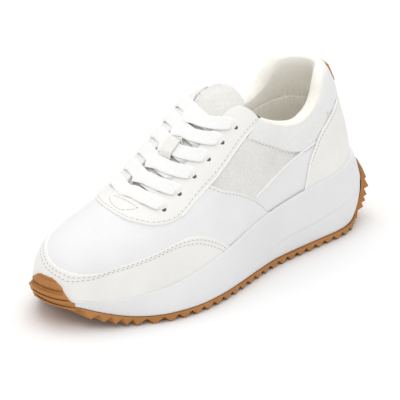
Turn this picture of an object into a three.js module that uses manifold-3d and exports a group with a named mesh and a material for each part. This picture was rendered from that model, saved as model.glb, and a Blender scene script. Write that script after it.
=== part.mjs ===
// A left platform trainer, standing empty on its sole: a gum rubber outsole with a toe bumper and a
// heel wrap, a thick foam midsole, one hollow upper open at the throat, collar and underneath, a padded
// collar lining, a tongue with its lace loop, an insole, flat laces and a rubber heel tab.
// Millimetres. +Z is up, the toe points to -Y and the outer (lateral) side of the foot to +X.
import * as THREE from "three";
import { mergeVertices } from "three/addons/utils/BufferGeometryUtils.js";
import Module from "manifold-3d";

const wasm = await Module();
wasm.setup();

// ---------------------------------------------------------------------------------------------------
// Driving sizes
// ---------------------------------------------------------------------------------------------------
const GAP = 0.35; // clearance between two curved pieces that touch
const WALL = 2.6; // upper: leather, foam backing and lining together
const ABOVE = 240; // well above, beside, behind and in front of the whole shoe: cutting forms reach
const BESIDE = 70; // this far, so that they pass right through what they cut
const BEHIND = 150;
const IN_FRONT = -160;
const POLE = 0.25; // a loft of the last stops this far from its two end points
const TOE_Y = -128; // tip of the last
const HEEL_Y = 128; // back of the last at the feather edge
const TOE_END = { reach: 66, power: 2.4 }; // how the plan outline rounds off at the toe
const HEEL_END = { reach: 42, power: 2.2 };
const TOP_END = { reach: 32, power: 2.8 }; // how the top line of the toe box rounds down

// The last, a row for each cross-section from toe to heel. centre and half set the plan outline,
// feather is the height of its lower edge, arch the height of the section over it, and full the power
// of its superellipse, which is 2 for a half ellipse and more for a squarer section.
const LAST = [
  { y: -128, centre: -6.2, half: 34.5, feather: 18.2, arch: 26.0, full: 2.6 },
  { y: -105, centre: -4.8, half: 39.2, feather: 16.6, arch: 34.8, full: 2.5 },
  { y: -80, centre: -3.0, half: 42.5, feather: 18.3, arch: 42.5, full: 2.3 },
  { y: -55, centre: 0.0, half: 43.5, feather: 22.3, arch: 51.0, full: 2.15 },
  { y: -25, centre: 1.4, half: 42.4, feather: 29.3, arch: 65.2, full: 2.2 },
  { y: 5, centre: 1.0, half: 39.0, feather: 36.3, arch: 77.5, full: 2.4 },
  { y: 25, centre: 1.0, half: 36.0, feather: 39.3, arch: 84.0, full: 2.3 },
  { y: 55, centre: 1.0, half: 33.5, feather: 42.3, arch: 107.0, full: 1.9 },
  { y: 90, centre: 1.0, half: 32.5, feather: 45.8, arch: 111.0, full: 1.75 },
  { y: 128, centre: 1.0, half: 32.0, feather: 52.3, arch: 107.0, full: 1.75 },
];

// The heel curve: how far the back of the shoe stands forward at each height over the feather edge.
const HEEL_CURVE = [
  { up: 0, forward: 0 },
  { up: 12, forward: 2.4 },
  { up: 30, forward: 7.6 },
  { up: 50, forward: 15.6 },
  { up: 66, forward: 23.5 },
  { up: 120, forward: 43.0 },
];
const HEEL_CURVE_FROM = 20; // y where the heel curve starts to act

// The topline of the collar, from the top of the eyestays round to the back.
const TOPLINE = [
  { y: 8, z: 128.0 },
  { y: 22, z: 105.5 },
  { y: 34, z: 97.5 },
  { y: 48, z: 92.8 },
  { y: 62, z: 91.4 },
  { y: 76, z: 95.2 },
  { y: 86, z: 101.6 },
  { y: 95, z: 109.8 },
  { y: 106, z: 116.3 },
  { y: 140, z: 118.3 },
];

// The throat, the slot between the two eyestays: it lies a little to the outer side and opens out at
// the top.
const THROAT_FRONT_Y = -64;
const THROAT_END = { reach: 14, power: 2.2 };
const THROAT_FLOOR = 0.7; // the slot is cut down to this share of the arch, under the wall
const THROAT = [
  { y: -64, half: 11.5, middle: 0.5 },
  { y: -52, half: 12.9, middle: 3.6 },
  { y: -36, half: 13.0, middle: 5.2 },
  { y: -20, half: 12.9, middle: 5.6 },
  { y: -8, half: 12.9, middle: 5.6 },
  { y: 2, half: 13.2, middle: 4.6 },
  { y: 12, half: 16.4, middle: 3.0 },
  { y: 18, half: 21.0, middle: 1.8 },
  { y: 24, half: 27.0, middle: 1.0 },
];

// The sole, a row for each cross-section of its underside: base is the height of the foam's underside.
const SOLE_TOE_Y = -125;
const SOLE_HEEL_Y = 134;
const SOLE = [
  { y: -125, centre: -6.2, half: 36.0, base: 15.8 },
  { y: -117, centre: -5.6, half: 38.5, base: 13.2 },
  { y: -107, centre: -5.0, half: 41.0, base: 9.9 },
  { y: -97, centre: -4.8, half: 42.6, base: 7.1 },
  { y: -88, centre: -4.0, half: 44.2, base: 5.6 },
  { y: -76, centre: -2.0, half: 47.2, base: 5.4 },
  { y: -52, centre: 0.8, half: 48.8, base: 5.4 },
  { y: -30, centre: 2.2, half: 46.2, base: 5.4 },
  { y: -10, centre: 3.0, half: 41.6, base: 5.4 },
  { y: 12, centre: 2.8, half: 36.8, base: 5.4 },
  { y: 34, centre: 1.5, half: 34.2, base: 5.4 },
  { y: 70, centre: 0.6, half: 33.8, base: 5.4 },
  { y: 104, centre: 0.2, half: 33.8, base: 5.4 },
  { y: 120, centre: 0.0, half: 33.6, base: 6.0 },
  { y: 134, centre: 0.0, half: 33.4, base: 9.5 },
];
const FLAT_BASE = 5.4; // where the underside is flat, its height
const CUP_DEPTH = 2.4; // the upper stands this deep inside the midsole's rim
const RIM = 2.0; // thickness of that rim, which thins to TOE_RIM under the bumper
const TOE_RIM = 0.6;
const SIDE_EASE = 1.6; // how late the side of the foam leans in on its way up
const SIDE_BULGE = 1.0;
const HEEL_BULGE = 7.2; // how far the back of the foam swells out between base and rim

// The gum rubber: a slab under the foam with a sawtooth tread, a toe bumper and a heel wrap.
const GUM = 1.0; // slab thickness over the teeth
const TOOTH = 4.05; // depth of the sawtooth tread
const TREAD = [
  { fromY: -115.0, pitch: 5.7, teeth: 4 },
  { fromY: -92.2, pitch: 9.4, teeth: 25 },
]; // finer teeth round the toe, then an even row to the heel
const TREAD_END = 0.4; // the teeth draw in this much at their tips
const SLAB_PROUD = 0.8; // how far the slab stands out past the foam
const SLAB_BACK = 1.2; // and further at the very back, inside the heel wrap
const PODS = [
  { y: -50, x: 1, length: 42, width: 48 },
  { y: 80, x: 0, length: 40, width: 34 },
]; // flat pads in the middle of the tread, under the ball and the heel

// The toe bumper, a row for each corner of its outline seen from the front, downwards from its top.
const BUMPER_CENTRE = -7;
const BUMPER = [
  { half: 5.0, z: 31.4 },
  { half: 8.0, z: 30.4 },
  { half: 12.5, z: 27.4 },
  { half: 14.5, z: 23.6 },
  { half: 16.5, z: 20.8 },
  { half: 18.5, z: 18.2 },
  { half: 19.5, z: 15.0 },
  { half: 19.5, z: 6.0 },
];
const BUMPER_BACK = -98; // y where it ends along the sides
const BUMPER_THICK = 1.1;
const BUMPER_STEPS = [29.6, 24.4, 19.2, 14.2]; // top of each of its overlapping ridges
const BUMPER_STEP = { thick: 1.0, deep: 3.6 };

// The heel wrap, a row for each change of its thickness up the back of the foam.
const WRAP_ALONG = 0.875; // it reaches this far round the heel
const WRAP = [
  { up: -0.08, thick: 2.2 },
  { up: 0.03, thick: 1.9 },
  { up: 0.06, thick: 4.3 },
  { up: 0.115, thick: 1.9 },
  { up: 0.14, thick: 4.2 },
  { up: 0.195, thick: 1.9 },
  { up: 0.225, thick: 4.1 },
  { up: 0.32, thick: 1.8 },
  { up: 0.355, thick: 4.3 },
  { up: 0.475, thick: 1.8 },
  { up: 0.51, thick: 3.0 },
  { up: 0.62, thick: 2.0 },
  { up: 0.76, thick: 0.7 },
];

// The tongue, insole, laces and small trim.
const TONGUE = { fromY: -72, toY: 21.5, inset: 3.5, thick: 4.0, turn: 0.36, middle: 0.07 };
const INSOLE = { thick: 4.0, inset: 3.4 };
const PADDING = { inset: 3.4, thick: 6.5, depth: 26, fromY: 27 };
const EYELET = { rows: 6, half: 25.5, radius: 2.4, sides: 8 };
const EYELET_ROWS = {
  lateral: { fromY: -58, pitch: 12.5 },
  medial: { fromY: -52.5, pitch: 11.4 },
};
const LACE = { width: 7.6, thick: 1.2, lift: 0.5, over: 0.9, short: 1.3, samples: 9 };
const LACE_LEAD = [
  { lateral: 4.0, medial: 10.8 },
  { lateral: 3.2, medial: 9.8 },
  { lateral: 4.8, medial: 8.8 },
  { lateral: 5.8, medial: 8.0 },
  { lateral: 6.4, medial: 6.8 },
  { lateral: 6.4, medial: 6.0 },
]; // a row for each row of eyelets: how far forward its two bars tuck in under the other eyestay
const CREST = { at: 0.68, wide: 0.15 }; // where the lateral bar rises over the medial one
const LOOP = { x: 5, y: -24.8, half: 10, width: 9, thick: 0.8, over: 3.5, under: -2.8, flat: 5, foot: 6.6 };
const TAB = { half: 16, top: -1, drop: 16, thick: 3, corner: 4, fromY: 70 };

// ---------------------------------------------------------------------------------------------------
// Curves through the tables
// ---------------------------------------------------------------------------------------------------

// A smooth curve through one column of a table: cubic Hermite pieces with slopes from the neighbours.
function curve(rows, along, column) {
  const at = rows.map((row) => row[along]);
  const value = rows.map((row) => row[column]);
  const end = rows.length - 1;
  const slope = at.map((_, i) => {
    const before = Math.max(i - 1, 0);
    const after = Math.min(i + 1, end);
    return (value[after] - value[before]) / (at[after] - at[before]);
  });
  return (wanted) => {
    const x = THREE.MathUtils.clamp(wanted, at[0], at[end]);
    let i = 0;
    while (i < end - 1 && x > at[i + 1]) i += 1;
    const step = at[i + 1] - at[i];
    const t = (x - at[i]) / step;
    const from = (1 + 2 * t) * (1 - t) ** 2 * value[i] + t * (1 - t) ** 2 * step * slope[i];
    const to = t * t * (3 - 2 * t) * value[i + 1] + t * t * (t - 1) * step * slope[i + 1];
    return from + to;
  };
}

// 0 at an end, rising as a superellipse to 1 at the end's reach.
function roundedEnd(distance, { reach, power }) {
  const left = THREE.MathUtils.clamp(1 - distance / reach, 0, 1);
  return (1 - left ** power) ** (1 / power);
}

const last = {
  centre: curve(LAST, "y", "centre"),
  half: curve(LAST, "y", "half"),
  feather: curve(LAST, "y", "feather"),
  arch: curve(LAST, "y", "arch"),
  full: curve(LAST, "y", "full"),
};
const baseCurve = curve(SOLE, "y", "base");
const sole = {
  centre: curve(SOLE, "y", "centre"),
  half: curve(SOLE, "y", "half"),
  base: (y) => Math.max(baseCurve(y), FLAT_BASE),
};
const toplineHeight = curve(TOPLINE, "y", "z");
const throat = { half: curve(THROAT, "y", "half"), middle: curve(THROAT, "y", "middle") };
const heelForward = curve(HEEL_CURVE, "up", "forward");

// Stations from one end to the other, closer together near both ends.
function stations(from, to, count) {
  const steps = Array.from({ length: count }, (_, i) => i / (count - 1));
  return steps.map((t) => from + ((to - from) * (1 - Math.cos(Math.PI * t))) / 2);
}

// How much of the heel curve acts at a place along the shoe.
function heelShare(y) {
  return THREE.MathUtils.clamp((y - HEEL_CURVE_FROM) / (HEEL_Y - HEEL_CURVE_FROM), 0, 1) ** 2;
}

// A point of the last's surface: turn is -1 at the medial feather edge, 0 on the ridge and 1 at the
// lateral feather edge. inset shrinks the whole last, and is negative outside it.
function lastPoint(y, turn, inset) {
  const plan =
    roundedEnd(y - TOE_Y - inset, TOE_END) * roundedEnd(HEEL_Y - inset - y, HEEL_END);
  const rise = roundedEnd(y - TOE_Y - inset, TOP_END);
  const angle = (turn * Math.PI) / 2;
  const power = 2 / last.full(y);
  const across = Math.sign(angle) * Math.abs(Math.sin(angle)) ** power;
  const up = (last.arch(y) - inset) * rise * Math.abs(Math.cos(angle)) ** power;
  return new THREE.Vector3(
    last.centre(y) + (last.half(y) - inset) * plan * across,
    y - heelShare(y) * heelForward(up),
    last.feather(y) + up,
  );
}

// ---------------------------------------------------------------------------------------------------
// Solids
// ---------------------------------------------------------------------------------------------------

// A closed solid lofted through closed loops of the same number of points. Each end is closed across
// the loop, from its first point against its last one inwards.
function loft(loops) {
  const count = loops[0].length;
  const triangles = [];
  for (let i = 0; i < loops.length - 1; i += 1) {
    for (let j = 0; j < count; j += 1) {
      const a = i * count + j;
      const b = i * count + ((j + 1) % count);
      triangles.push(a, b, b + count, a, b + count, a + count);
    }
  }
  const far = (loops.length - 1) * count;
  let low = 0;
  let high = count - 1;
  while (high - low > 1) {
    triangles.push(high, low + 1, low, far + low, far + low + 1, far + high);
    low += 1;
    if (high - low > 1) {
      triangles.push(high, high - 1, low, far + low, far + high - 1, far + high);
      high -= 1;
    }
  }
  return solid(loops.flat(), triangles);
}

// A manifold solid from points and triangles, turned inside out where its faces point inwards.
function solid(points, triangles) {
  const geometry = new THREE.BufferGeometry();
  geometry.setFromPoints(points);
  geometry.setIndex(triangles);
  const merged = mergeVertices(geometry, 1e-4);
  const build = (index) =>
    new wasm.Manifold(
      new wasm.Mesh({
        numProp: 3,
        vertProperties: new Float32Array(merged.attributes.position.array),
        triVerts: new Uint32Array(index),
      }),
    );
  const index = Array.from(merged.index.array);
  const made = build(index);
  if (made.volume() > 0) return made;
  return build(index.reverse());
}

// A named mesh from a manifold solid, with a material of its own in the finish given.
function piece(name, made, finish) {
  const mesh = made.getMesh();
  const geometry = new THREE.BufferGeometry();
  geometry.setAttribute("position", new THREE.BufferAttribute(mesh.vertProperties, 3));
  geometry.setIndex(new THREE.BufferAttribute(mesh.triVerts, 1));
  geometry.computeVertexNormals();
  const result = new THREE.Mesh(geometry, new THREE.MeshStandardMaterial({ ...finish, metalness: 0 }));
  result.name = name;
  return result;
}

function union(solids) {
  return solids.reduce((whole, next) => whole.add(next));
}

// A straight prism whose front-view outline runs through the corners, from one y to another.
function prism(corners, fromY, toY) {
  return loft([fromY, toY].map((y) => corners.map(([x, z]) => new THREE.Vector3(x, y, z))));
}

// ---------------------------------------------------------------------------------------------------
// The last's body, which every soft piece is cut from
// ---------------------------------------------------------------------------------------------------
const LAST_STATIONS = 27;
const LAST_TURNS = 18;

// The whole last, shrunk by inset and carried straight down by drop below the feather edge.
function lastBody(inset, drop) {
  const ys = stations(TOE_Y + inset + POLE, HEEL_Y - inset - POLE, LAST_STATIONS);
  return loft(
    ys.map((y) => {
      const turns = Array.from({ length: LAST_TURNS + 1 }, (_, i) => (2 * i) / LAST_TURNS - 1);
      const arch = turns.map((turn) => lastPoint(y, turn, inset));
      if (drop === 0) return arch;
      const down = new THREE.Vector3(0, 0, -drop);
      return [arch[0].clone().add(down), ...arch, arch[LAST_TURNS].clone().add(down)];
    }),
  );
}

// Everything between the topline, lowered by drop, and a height over the shoe, back of fromY.
function aboveTopline(fromY, drop) {
  const steps = 23;
  const ys = Array.from({ length: steps + 1 }, (_, i) => fromY + ((BEHIND - fromY) * i) / steps);
  return loft(
    ys.map((y) => {
      const low = toplineHeight(y) - drop;
      return [
        new THREE.Vector3(-BESIDE, y, low),
        new THREE.Vector3(BESIDE, y, low),
        new THREE.Vector3(BESIDE, y, ABOVE),
        new THREE.Vector3(-BESIDE, y, ABOVE),
      ];
    }),
  );
}

// The slot between the eyestays, cut straight down through the top of the last.
function throatSlot() {
  const ys = stations(THROAT_FRONT_Y + 0.1, THROAT[THROAT.length - 1].y, 26);
  return loft(
    ys.map((y) => {
      const half = throat.half(y) * roundedEnd(y - THROAT_FRONT_Y, THROAT_END);
      const [left, right] = [throat.middle(y) - half, throat.middle(y) + half];
      const low = last.feather(y) + THROAT_FLOOR * last.arch(y);
      return [
        new THREE.Vector3(left, y, low),
        new THREE.Vector3(right, y, low),
        new THREE.Vector3(right, y, ABOVE),
        new THREE.Vector3(left, y, ABOVE),
      ];
    }),
  );
}

// ---------------------------------------------------------------------------------------------------
// Sole
// ---------------------------------------------------------------------------------------------------
const SOLE_STATIONS = 32;

// A point of the side of the foam: along runs 0 to 1 from toe to heel, side is -1 or 1, up is 0 at the
// base and 1 at the rim, and out stands the whole side outwards.
function solePoint(along, side, up, out) {
  const lean = Math.max(up, 0) ** SIDE_EASE;
  const swell = Math.sin(Math.PI * THREE.MathUtils.clamp(up, 0, 1) ** 0.8);
  const rim = RIM + GAP;
  const mix = (low, high) => low + (high - low) * lean;
  const toeY = mix(SOLE_TOE_Y, TOE_Y - GAP - TOE_RIM) - out;
  const heelY = mix(SOLE_HEEL_Y, HEEL_Y + rim) + HEEL_BULGE * swell + out;
  const y = toeY + ((heelY - toeY) * (1 - Math.cos(Math.PI * along))) / 2;
  const plan = roundedEnd(y - toeY, TOE_END) * roundedEnd(heelY - y, HEEL_END);
  const half = mix(sole.half(y), last.half(y) + rim) + SIDE_BULGE * swell + out;
  const low = sole.base(y);
  const high = last.feather(y) + CUP_DEPTH;
  return new THREE.Vector3(
    mix(sole.centre(y), last.centre(y)) + side * half * plan,
    y,
    low + (high - low) * up,
  );
}

// The foam without its cup, standing out by out all round, below and above.
function soleBody(out) {
  const rings = [
    { up: 0, lift: -out },
    { up: 0.06, lift: 0 },
    { up: 0.2, lift: 0 },
    { up: 0.4, lift: 0 },
    { up: 0.6, lift: 0 },
    { up: 0.8, lift: 0 },
    { up: 0.94, lift: 0 },
    { up: 1, lift: out },
  ];
  const loops = [];
  for (let i = 0; i < SOLE_STATIONS; i += 1) {
    const along = 0.012 + (0.976 * i) / (SOLE_STATIONS - 1);
    const edge = (side) =>
      rings.map(({ up, lift }) => {
        const point = solePoint(along, side, up, out);
        point.z += lift;
        return point;
      });
    loops.push([...edge(1), ...edge(-1).reverse()]);
  }
  return loft(loops);
}

// The slab under the foam, with teeth square to the underside across its whole width.
function treadSlab() {
  const backY = SOLE_HEEL_Y + SLAB_PROUD + SLAB_BACK;
  const frontY = SOLE_TOE_Y - SLAB_PROUD;
  const firstValley = TREAD[0].fromY - TREAD[0].pitch / 2;
  const rows = [frontY + 0.3, frontY + 2, frontY + 4.5, firstValley].map((y) => ({ y, tooth: 0 }));
  for (const { fromY, pitch, teeth } of TREAD) {
    for (let i = 0; i < teeth; i += 1) {
      rows.push({ y: fromY + i * pitch, tooth: TOOTH });
      rows.push({ y: Math.min(fromY + (i + 0.5) * pitch, backY - 0.3), tooth: 0 });
    }
  }
  return loft(
    rows.map(({ y, tooth }) => {
      const plan = roundedEnd(y - frontY, TOE_END) * roundedEnd(backY - y, HEEL_END);
      const half = (sole.half(y) + SLAB_PROUD) * plan;
      const centre = sole.centre(y);
      const slope = sole.base(y + 0.5) - sole.base(y - 0.5);
      const steep = Math.hypot(slope, 1);
      const corner = (x, deep) =>
        new THREE.Vector3(x, y + (deep * slope) / steep, sole.base(y) - GAP - deep / steep);
      return [
        corner(centre - half, 0),
        corner(centre - half, GUM),
        corner(centre - half + TREAD_END, GUM + tooth),
        corner(centre + half - TREAD_END, GUM + tooth),
        corner(centre + half, GUM),
        corner(centre + half, 0),
      ];
    }),
  );
}

// The flat pads that the shoe stands on.
function treadPods() {
  return PODS.map(({ y, x, length, width }) => {
    const half = width / 2;
    const outline = [
      [x - half, GUM + TOOTH],
      [x - half, 0],
      [x + half, 0],
      [x + half, GUM + TOOTH],
    ];
    return prism(outline, y - length / 2, y + length / 2);
  });
}

// The bumper round the toe, cut between the sole and last and the same two forms standing outwards.
function toeBumper() {
  const around = (out) => soleBody(out).add(lastBody(-out, GAP));
  const right = BUMPER.map(({ half, z }) => [BUMPER_CENTRE + half, z]);
  const left = BUMPER.map(({ half, z }) => [BUMPER_CENTRE - half, z]).reverse();
  const outline = prism([...right, ...left], IN_FRONT, BUMPER_BACK);
  const core = around(GAP);
  const skin = around(GAP + BUMPER_THICK);
  const ridged = around(GAP + BUMPER_THICK + BUMPER_STEP.thick);
  const steps = BUMPER_STEPS.map((z) => {
    const band = prism(
      [
        [-BESIDE, z],
        [-BESIDE, z - BUMPER_STEP.deep],
        [BESIDE, z - BUMPER_STEP.deep],
        [BESIDE, z],
      ],
      IN_FRONT,
      BUMPER_BACK,
    );
    return ridged.intersect(band);
  });
  return union([skin, ...steps]).subtract(core).intersect(outline);
}

// The wrap up the back of the heel: its thickness follows the table, tooth by tooth.
function heelWrap() {
  const sides = Array.from({ length: 11 }, (_, i) => i / 5 - 1);
  return loft(
    WRAP.map(({ up, thick }) => {
      const point = (side, out) =>
        solePoint(1 - Math.abs(side) * (1 - WRAP_ALONG), Math.sign(side) || 1, up, out);
      const outer = sides.map((side) => point(side, GAP + thick));
      const inner = sides.map((side) => point(side, GAP)).reverse();
      return [...outer, ...inner];
    }),
  );
}

// ---------------------------------------------------------------------------------------------------
// Upper, lining, tongue and insole
// ---------------------------------------------------------------------------------------------------

// The hollow upper: the last's body less the foot's space, the throat, the collar and the lace holes.
function upperShell() {
  const shell = lastBody(0, 0)
    .subtract(lastBody(WALL, 6))
    .subtract(throatSlot())
    .subtract(aboveTopline(8, 0));
  return eyelets().reduce((left, hole) => left.subtract(hole), shell);
}

// The padding and lining round the inside of the collar, wedge-shaped at its two front ends.
function collarPadding() {
  const { inset, thick, depth, fromY } = PADDING;
  const ring = lastBody(inset, 0).subtract(lastBody(inset + thick, 20));
  const below = lastBody(-30, 30).subtract(aboveTopline(-100, depth));
  const front = prism(
    [
      [-BESIDE, 0],
      [BESIDE, 0],
      [BESIDE, ABOVE],
      [-BESIDE, ABOVE],
    ],
    IN_FRONT,
    fromY,
  );
  return ring.subtract(aboveTopline(8, 0)).subtract(below).subtract(front);
}

// The tongue: a curved pad under the two eyestays that runs out past their tops.
function tongue() {
  const { fromY, toY, inset, thick, turn, middle } = TONGUE;
  const sides = Array.from({ length: 11 }, (_, i) => i / 5 - 1);
  return loft(
    stations(fromY, toY, 15).map((y) => {
      const reach = turn * roundedEnd(toY + 1.2 - y, { reach: 12, power: 2.4 });
      const outer = sides.map((side) => lastPoint(y, middle + side * reach, inset));
      const inner = sides.map((side) => lastPoint(y, middle + side * reach, inset + thick)).reverse();
      return [...outer, ...inner];
    }),
  );
}

// The insole, which lies on the floor of the foam's cup inside the upper.
function insole() {
  const { thick, inset } = INSOLE;
  return loft(
    stations(TOE_Y + inset + 0.4, HEEL_Y - inset - 0.4, 30).map((y) => {
      const plan =
        roundedEnd(y - TOE_Y - inset, TOE_END) * roundedEnd(HEEL_Y - inset - y, HEEL_END);
      const half = (last.half(y) - inset) * plan;
      const low = last.feather(y);
      const corner = (across, z) => new THREE.Vector3(last.centre(y) + across * half, y, z);
      return [
        corner(-1, low),
        corner(1, low),
        corner(0.97, low + thick),
        corner(-0.97, low + thick),
      ];
    }),
  );
}

// ---------------------------------------------------------------------------------------------------
// Laces and small trim
// ---------------------------------------------------------------------------------------------------

// A point over the last at a place given by x and y, standing lift above its surface.
function overLast(x, y, lift) {
  const plan =
    roundedEnd(y - TOE_Y + lift, TOE_END) * roundedEnd(HEEL_Y + lift - y, HEEL_END);
  const across = (x - last.centre(y)) / ((last.half(y) + lift) * plan);
  const turn = Math.asin(Math.min(Math.abs(across), 1) ** (last.full(y) / 2)) / (Math.PI / 2);
  return lastPoint(y, Math.sign(across) * turn, -lift);
}

// Outward direction of the last's surface at a place given by x and y.
function overNormal(x, y) {
  const step = 0.5;
  const across = overLast(x + step, y, 0).sub(overLast(x - step, y, 0));
  const along = overLast(x, y + step, 0).sub(overLast(x, y - step, 0));
  return across.cross(along).normalize();
}

// A flat ribbon whose middle runs through points, each with the direction of the ribbon's width.
function ribbon(points, sides, width, thick) {
  return loft(
    points.map((point, i) => {
      const before = points[Math.max(i - 1, 0)];
      const after = points[Math.min(i + 1, points.length - 1)];
      const ahead = after.clone().sub(before).normalize();
      const side = sides[i].clone().addScaledVector(ahead, -sides[i].dot(ahead)).normalize();
      const up = ahead.clone().cross(side);
      const corner = (a, b) =>
        point.clone().addScaledVector(side, (a * width) / 2).addScaledVector(up, (b * thick) / 2);
      return [corner(-1, -1), corner(1, -1), corner(1, 1), corner(-1, 1)];
    }),
  );
}

// Where a row's two eyelets lie.
function eyeletPlace(row, side) {
  const { fromY, pitch } = side > 0 ? EYELET_ROWS.lateral : EYELET_ROWS.medial;
  const y = fromY + row * pitch;
  return { x: last.centre(y) + side * EYELET.half, y };
}

// Short pegs through the wall that cut the lace holes.
function eyelets() {
  const pegs = [];
  for (let row = 0; row < EYELET.rows; row += 1) {
    for (const side of [-1, 1]) {
      const { x, y } = eyeletPlace(row, side);
      const normal = overNormal(x, y);
      const along = new THREE.Vector3(0, 1, 0).cross(normal).normalize();
      const across = normal.clone().cross(along);
      const loops = [-8, 4].map((lift) =>
        Array.from({ length: EYELET.sides }, (_, i) => {
          const angle = (2 * Math.PI * i) / EYELET.sides;
          return overLast(x, y, 0)
            .addScaledVector(normal, lift)
            .addScaledVector(along, EYELET.radius * Math.cos(angle))
            .addScaledVector(across, EYELET.radius * Math.sin(angle));
        }),
      );
      pegs.push(loft(loops));
    }
  }
  return pegs;
}

// One bar of the lace, from its eyelet over the eyestay and the tongue to the other eyestay's edge,
// lead forward of where it started. over lifts its middle.
function laceBar(row, side, lead, over) {
  const from = eyeletPlace(row, side);
  const toX = throat.middle(from.y - lead) - side * (throat.half(from.y - lead) - LACE.short);
  const points = [];
  const sides = [];
  for (let i = 0; i <= LACE.samples; i += 1) {
    const t = i / LACE.samples;
    const x = from.x + (toX - from.x) * t;
    const y = from.y - lead * t;
    const rise = over * Math.exp(-(((t - CREST.at) / CREST.wide) ** 2));
    points.push(overLast(x, y, LACE.lift + LACE.thick / 2 + rise));
    sides.push(new THREE.Vector3(0, 1, 0).projectOnPlane(overNormal(x, y)));
  }
  return ribbon(points, sides, LACE.width, LACE.thick);
}

// A row of the lace: its two bars, joined where the lateral one lies over the medial one.
function laceRow(row) {
  const { lateral, medial } = LACE_LEAD[row];
  return laceBar(row, 1, lateral, LACE.over).add(laceBar(row, -1, medial, 0));
}

// The tongue's lace loop: a strap with its two feet on the tongue and its middle over one crossing.
function laceLoop() {
  const { x, y, half, width, thick, over, under, flat, foot } = LOOP;
  const across = new THREE.Vector3(1, 0, 0);
  const steps = Array.from({ length: 17 }, (_, i) => y - half + (2 * half * i) / 16);
  const points = steps.map((at) => {
    const fall = THREE.MathUtils.smoothstep(Math.abs(at - y), flat, foot);
    return overLast(x, at, over + (under - over) * fall);
  });
  return ribbon(points, points.map(() => across), width, thick);
}

// The rubber tab at the top of the heel, cut between two forms just outside the upper.
function heelTab() {
  const { half, top, drop, thick, corner, fromY } = TAB;
  const high = toplineHeight(HEEL_Y) + top;
  const outline = prism(
    [
      [half, high],
      [half, high - drop + corner],
      [half - corner, high - drop],
      [corner - half, high - drop],
      [-half, high - drop + corner],
      [-half, high],
    ].map(([x, z]) => [last.centre(HEEL_Y) + x, z]),
    fromY,
    BEHIND,
  );
  return lastBody(-GAP - thick, 0).subtract(lastBody(-GAP, 0)).intersect(outline);
}

// ---------------------------------------------------------------------------------------------------
// The pieces
// ---------------------------------------------------------------------------------------------------
const LEATHER = { color: 0xe9e8e4, roughness: 0.55 };
const FOAM = { color: 0xe4e5e7, roughness: 0.7 };
const RUBBER = { color: 0xb4763c, roughness: 0.5 };
const LINING = { color: 0xe8e2d2, roughness: 0.9 };
const KNIT = { color: 0xd9d6cc, roughness: 0.85 };
const COTTON = { color: 0xefeeea, roughness: 0.8 };

const midsole = soleBody(0).subtract(lastBody(-GAP, GAP));
const outsole = union([treadSlab(), ...treadPods(), heelWrap(), toeBumper()]);

const group = new THREE.Group();
group.add(piece("outsole", outsole, RUBBER));
group.add(piece("midsole", midsole, FOAM));
group.add(piece("upper", upperShell(), LEATHER));
group.add(piece("collar_lining", collarPadding(), LINING));
group.add(piece("tongue", tongue(), KNIT));
group.add(piece("insole", insole(), LINING));
for (let row = 0; row < EYELET.rows; row += 1) {
  group.add(piece("lace_row_" + (row + 1), laceRow(row), COTTON));
}
group.add(piece("lace_loop", laceLoop(), KNIT));
group.add(piece("heel_tab", heelTab(), RUBBER));

// The origin is the middle of the underside of everything.
const box = new THREE.Box3().setFromObject(group);
const middle = box.getCenter(new THREE.Vector3());
group.position.set(-middle.x, -middle.y, -box.min.z);
export default group;
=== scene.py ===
"""A left platform trainer in white leather, foam and gum rubber, standing on its sole."""

import bmesh
import bpy
import numpy as np
from mathutils import Matrix, Vector


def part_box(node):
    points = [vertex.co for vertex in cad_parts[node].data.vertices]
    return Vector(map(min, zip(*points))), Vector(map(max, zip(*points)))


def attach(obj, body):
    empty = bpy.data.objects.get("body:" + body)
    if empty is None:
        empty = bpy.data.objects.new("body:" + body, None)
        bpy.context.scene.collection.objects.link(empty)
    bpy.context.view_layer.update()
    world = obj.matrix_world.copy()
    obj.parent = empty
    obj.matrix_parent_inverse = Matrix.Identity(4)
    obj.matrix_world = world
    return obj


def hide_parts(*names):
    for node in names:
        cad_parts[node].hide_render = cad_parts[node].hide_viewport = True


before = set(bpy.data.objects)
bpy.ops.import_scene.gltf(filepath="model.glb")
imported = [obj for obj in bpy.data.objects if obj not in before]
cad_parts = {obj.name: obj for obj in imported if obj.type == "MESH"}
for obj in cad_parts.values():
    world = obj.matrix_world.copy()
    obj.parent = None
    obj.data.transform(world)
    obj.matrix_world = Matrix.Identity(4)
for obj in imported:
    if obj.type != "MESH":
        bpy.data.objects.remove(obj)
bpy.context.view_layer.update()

# ---------- body of the upper
# The body of the upper is one shell of smooth matte leather over a foam backing, pulled down over the
# last and glued into the foam cup at its feather edge. Every other panel is laid on it, so its
# section carries the shape of the last, which all sizes below are given on, in millimetres.
TOE_Y, HEEL_Y = -128.0, 128.0
# reach and power of the outline's round toe and heel, and of the ridge's fall at the toe
TOE_END, HEEL_END, TOP_END = (66.0, 2.4), (42.0, 2.2), (32.0, 2.8)
LAST = np.array(
    [  # y, centre, half width, feather height, arch height, fullness
        [-128, -6.2, 34.5, 18.2, 26.0, 2.60],
        [-105, -4.8, 39.2, 16.6, 34.8, 2.50],
        [-80, -3.0, 42.5, 18.3, 42.5, 2.30],
        [-55, 0.0, 43.5, 22.3, 51.0, 2.15],
        [-25, 1.4, 42.4, 29.3, 65.2, 2.20],
        [5, 1.0, 39.0, 36.3, 77.5, 2.40],
        [25, 1.0, 36.0, 39.3, 84.0, 2.30],
        [55, 1.0, 33.5, 42.3, 107.0, 1.90],
        [90, 1.0, 32.5, 45.8, 111.0, 1.75],
        [128, 1.0, 32.0, 52.3, 107.0, 1.75],
    ]
)
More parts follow.
